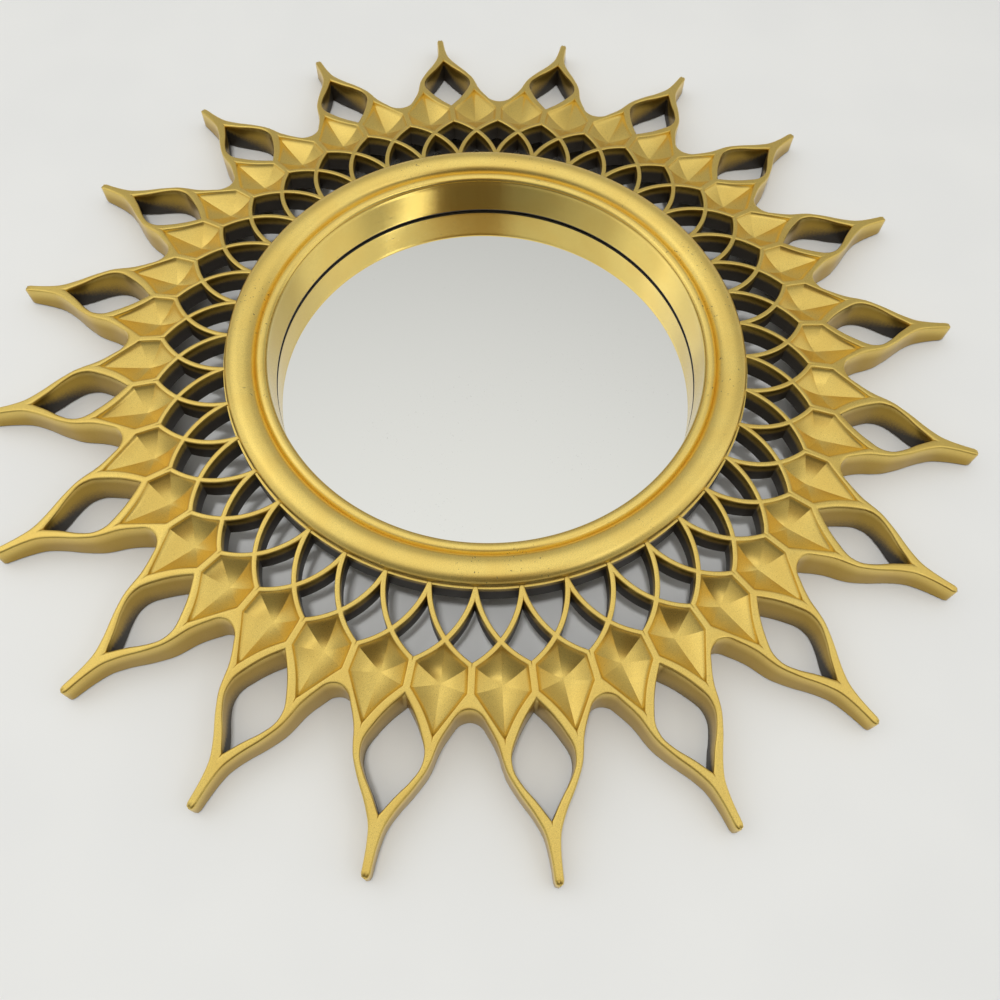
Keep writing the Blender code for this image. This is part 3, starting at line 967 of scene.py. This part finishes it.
@dataclass(frozen=True)
class SprayedGold:
    """Gold paint with a fine metal flake, sprayed from the front over black plastic.

    The paint turns darker and browner down upright walls. This is painted shade for the light that the
    walls miss, and in the holes also the paint growing sparse. Black shows through where the spray didn't
    reach.
    """

    name: str
    colour: tuple[float, float, float] = (0.90, 0.68, 0.195)
    shade_and_thin_brown: tuple[float, float, float] = (0.40, 0.25, 0.035)
    bare: tuple[float, float, float] = (0.030, 0.023, 0.015)
    lightest_flake: float = 1.09
    darkest_flake: float = 0.86
    warmth: tuple[float, float, float] = (0.94, 0.86, 0.72)
    metal: float = 0.94
    roughness: float = 0.29
    flake_size: float = 0.2 * MM
    flake_depth: float = 0.002 * MM
    cloud_size: float = 9 * MM
    speckle_size: float = 0.35 * MM
    wave_size: float = 1.6 * MM
    wave_depth: float = 0.007 * MM
    polished_radius: float = 0.0
    polish_blend: float = 0.4 * MM
    nicked: bool = False
    nick_size: float = 0.7 * MM
    nick_patch: float = 14 * MM

    def material(self) -> bpy.types.Material:
        """Builds the material.

        Returns:
            The material, which reads the "depth" attribute for where the spray reached.
        """
        graph = Graph(self.name)
        flake = graph.noise(self.flake_size, 2.0, 0.6)
        cloud = graph.noise(self.cloud_size, 1.0, 0.55)
        depth = graph.node("ShaderNodeAttribute", {"attribute_name": "depth"}, {}, "Fac")
        speckle = graph.noise(self.speckle_size, 1.0, 0.7)
        paint = 1 - (depth + (speckle - 0.5) * 0.45).step(0.35, 1.25)
        if self.nicked:
            patches = graph.noise(self.nick_patch, 1.0, 0.5).step(0.46, 0.62)
            nick = graph.noise(self.nick_size, 3.0, 0.65).step(0.655, 0.70)
            paint = paint * (1 - nick * patches)
        light = tuple(min(1.0, channel * self.lightest_flake) for channel in self.colour)
        dark = tuple(channel * self.darkest_flake for channel in self.colour)
        warm = tuple(channel * share for channel, share in zip(self.colour, self.warmth))
        gold = graph.colour_mix(flake.step(0.3, 0.7), dark, light)
        gold = graph.colour_mix(cloud.step(0.35, 0.7) * 0.4, gold, warm)
        # Painted shade: the colour darkens and browns with depth below the front on every upright wall. In
        # the holes it also stands for the paint growing sparse before the black shows.
        gold = graph.colour_mix(depth.step(0.0, 0.2) * 0.8, gold, self.shade_and_thin_brown)
        colour = graph.colour_mix(paint, self.bare, gold)
        rough = self.roughness + (flake - 0.5) * 0.08 + (1 - paint) * 0.2
        if self.polished_radius:
            rough = rough - self.polish(graph)
        waves = graph.noise(self.wave_size, 1.0, 0.5) * (self.wave_depth / self.flake_depth)
        return graph.surface({
            "Base Color": colour,
            "Metallic": paint * self.metal,
            "Roughness": rough,
            "Normal": graph.bump(flake + waves, self.flake_depth),
        })

    def polish(self, graph: Graph) -> Value:
        """How much smoother the paint is inside the polished radius.

        Args:
            graph: the material's nodes.

        Returns:
            What the roughness loses, with fine streaks down the wall.
        """
        flat = graph.node("ShaderNodeVectorMath", {"operation": "MULTIPLY"}, {
            0: graph.objects(), 1: (1.0, 0.0, 1.0)
        })
        radius = graph.node("ShaderNodeVectorMath", {"operation": "LENGTH"}, {0: flat}, "Value")
        blend = self.polish_blend
        inside = 1 - radius.step(self.polished_radius - blend, self.polished_radius + blend)
        return inside * (0.17 - 0.07 * graph.noise(1.3 * MM, 1.0, 0.5, flat))


@dataclass(frozen=True)
class MirrorSilver:
    """Flat mirror glass with a little dust."""

    name: str = "mirror_glass_silver"

    def material(self) -> bpy.types.Material:
        """Builds the material.

        Returns:
            The material.
        """
        graph = Graph(self.name)
        specks = graph.noise(0.6 * MM, 3.0, 0.6).step(0.64, 0.72)
        dust = specks * graph.noise(30 * MM, 2.0, 0.5).step(0.42, 0.62)
        return graph.surface({
            "Base Color": graph.colour_mix(dust * 0.5, (0.80, 0.805, 0.78), (0.66, 0.66, 0.64)),
            "Metallic": 1.0,
            "Roughness": 0.015 + dust * 0.3,
        })


@dataclass(frozen=True)
class BlackPlastic:
    """Matte black moulded plastic."""

    name: str = "moulded_black_plastic"

    def material(self) -> bpy.types.Material:
        """Builds the material.

        Returns:
            The material.
        """
        graph = Graph(self.name)
        grain = graph.noise(0.5 * MM, 3.0, 0.6)
        return graph.surface({
            "Base Color": graph.colour_mix(grain, (0.016, 0.015, 0.014), (0.03, 0.028, 0.026)),
            "Roughness": 0.5 + grain * 0.15,
            "Normal": graph.bump(grain, 0.03 * MM, 0.6),
        })


@dataclass(frozen=True)
class Stage:
    """The pale surface behind the mirror, soft studio light and the camera."""

    wall_inner: float = 60.5 * MM
    wall_outer: float = 2.15
    wall_sides: int = 128
    wall_dark: tuple[float, float, float] = (0.750, 0.757, 0.750)
    wall_light: tuple[float, float, float] = (0.772, 0.778, 0.768)
    gap: float = 0.4 * MM
    canopy_radius: float = 2.2
    card_tint: tuple[float, float, float] = (1.0, 0.70, 0.34)

    def wall(self) -> None:
        """A pale disc just behind the object, which shows from its front only.

        It is open under the round back plate, so that light reaches the plate from behind.
        """
        graph = Graph("pale_surface")
        mottle = graph.noise(0.05, 2.0, 0.6)
        front = graph.node("ShaderNodeBsdfPrincipled", {}, {
            "Base Color": graph.colour_mix(mottle.step(0.3, 0.7), self.wall_dark, self.wall_light),
            "Roughness": 0.4,
            "Specular IOR Level": 0.3,
        })
        clear = graph.node("ShaderNodeBsdfTransparent", {}, {})
        behind = graph.node("ShaderNodeNewGeometry", {}, {}, "Backfacing")
        graph.node_output(graph.node("ShaderNodeMixShader", {}, {0: behind, 1: front, 2: clear}))
        turn = np.exp(2j * math.pi * np.arange(self.wall_sides) / self.wall_sides)
        index = np.arange(self.wall_sides)
        after = (index + 1) % self.wall_sides
        faces = np.stack((index, index + self.wall_sides, after + self.wall_sides, after), axis=1)
        mesh = bpy.data.meshes.new("backdrop")
        plan = np.concatenate((self.wall_inner * turn, self.wall_outer * turn))
        mesh.from_pydata(spot(plan, np.array(-self.gap)), [], faces)
        mesh.materials.append(graph.material)
        backdrop = bpy.data.objects.new("backdrop", mesh)
        bpy.context.scene.collection.objects.link(backdrop)

    def light(
        self, name: str, place: tuple[float, float, float], size: tuple[float, float], power: float
    ) -> bpy.types.Object:
        """A rectangular soft light that faces the mirror.

        Args:
            name: the light's name.
            place: where it stands.
            size: its width and height.
            power: its power in watts.

        Returns:
            The light.
        """
        data = bpy.data.lights.new(name, "AREA")
        data.shape = "RECTANGLE"
        data.size, data.size_y = size
        data.energy = power
        made = bpy.data.objects.new(name, data)
        made.location = place
        made.rotation_mode = "QUATERNION"
        made.rotation_quaternion = (-made.location).to_track_quat("-Z", "Y")
        bpy.context.scene.collection.objects.link(made)
        return made

    def world(self) -> None:
        """An even pale surround, seen behind the object and lighting its back."""
        graph = Graph("surround", world=True)
        glow = graph.node("ShaderNodeBackground", {}, {"Color": (1.0, 0.995, 0.985, 1.0), "Strength": 0.72})
        graph.node_output(glow, "ShaderNodeOutputWorld")
        bpy.context.scene.world = graph.material

    def canopy(self) -> None:
        """A glowing half sphere in front of the mirror that lights it like a pale room.

        It is brightest straight ahead and at both sides, fades towards its rim, and has a brown
        card low in front. It lights and shows in reflections only. Places are
        (sin p cos a, -cos p, sin p sin a) times the radius, for the angles p from its middle and a
        round it.
        """
        graph = Graph("canopy_glow")
        way = graph.node("ShaderNodeVectorMath", {"operation": "NORMALIZE"}, {0: graph.objects()})
        middle = graph.along(way, (-0.06, -0.998, 0.0)).step(0.5, 1.0)
        right = graph.along(way, (1.0, 0.0, 0.0))
        low = graph.along(way, (0.0, 0.0, -1.0))
        card = (1 - (right - 0.16).maths("ABSOLUTE").step(0.16, 0.32)) * low.step(0.42, 0.60)
        level = (0.45 + middle * 0.53) * (1 - card * 0.50) * (1 - low.step(0.45, 0.80) * 0.60)
        sides = right.maths("ABSOLUTE").step(0.48, 0.66) * (1 - low.maths("ABSOLUTE").step(0.15, 0.40))
        level = level + sides * 0.45
        tint = graph.colour_mix(card, (1.0, 0.995, 0.97), self.card_tint)
        glow = graph.node("ShaderNodeEmission", {}, {"Color": tint, "Strength": level})
        graph.node_output(glow)
        tilt = np.linspace(0, math.radians(93), 11)[:, None]
        turn = np.linspace(0, 2 * math.pi, 25)[None, :]
        aside, ahead = np.sin(tilt), np.cos(tilt)
        points = np.stack((aside * np.cos(turn), -ahead + 0 * turn, aside * np.sin(turn)), axis=2)
        canopy = Surface.grid(points * self.canopy_radius).to_object("light_canopy", 180)
        canopy.data.materials.append(graph.material)
        canopy.visible_camera = False

    def camera(self) -> None:
        """The camera, at the place and with the lens of the photograph's view."""
        data = bpy.data.cameras.new("camera")
        data.sensor_width = 36.0
        data.lens = 34.189
        data.clip_start = 0.01
        made = bpy.data.objects.new("camera", data)
        made.location = (0.003354, -0.208339, -0.139837)
        made.rotation_euler = tuple(math.radians(angle) for angle in (116.6332, -1.8801, -1.3211))
        bpy.context.scene.collection.objects.link(made)
        bpy.context.scene.camera = made

    def build(self) -> None:
        """Builds the stage."""
        self.wall()
        self.world()
        self.canopy()
        self.light("key_softbox", (-0.95, -1.0, 0.55), (0.9, 0.9), 0.8)
        self.light("window_strip", (0.78, -1.10, -0.80), (0.2, 0.8), 0.8)
        self.light("overhead_lamp", (-0.10, -1.4, -0.30), (0.16, 0.16), 6.2).visible_glossy = False
        self.camera()
        bpy.context.scene.view_settings.view_transform = "Standard"


def settle(piece: bpy.types.Object, material: bpy.types.Material, slot: Slot, *nodes: str) -> None:
    """Gives a new piece its finish and its place in the model.

    Args:
        piece: the piece.
        material: its material.
        slot: the record's material slot; not used.
        nodes: the CAD nodes that it replaces.
    """
    piece.data.materials.append(material)
    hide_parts(*nodes)
    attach(piece, BODY)
    LOG.info("%s: %d faces in place of %s", piece.name, len(piece.data.polygons), ", ".join(nodes))


def dress(node: bpy.types.Object, material: bpy.types.Material) -> None:
    """Gives a carried-over CAD node its finish.

    Args:
        node: the node.
        material: its material.
    """
    node.data.materials.clear()
    node.data.materials.append(material)
    LOG.info("%s: carried over from the CAD frame", node.name)


def main() -> None:
    """Builds every piece and the stage."""
    logging.basicConfig(level=logging.INFO, format="%(message)s")
    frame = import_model()
    frame_gold = SprayedGold("satin_gold_spray", colour=(0.78, 0.575, 0.155))
    settle(SunburstFrame().build(), frame_gold.material(), Slot.FRAME, "sunburst_frame")
    ring_gold = SprayedGold(
        "ring_gold_spray", roughness=0.31, flake_depth=0.005 * MM, polished_radius=54.5 * MM, nicked=True
    )
    settle(MirrorRing().build(), ring_gold.material(), Slot.RING, "mirror_ring")
    settle(BackCover().build(), BlackPlastic().material(), Slot.BACK, "back_cover")
    dress(frame["nodes"]["mirror_disc"], MirrorSilver().material())
    Stage().build()


if __name__ == "__main__":
    main()
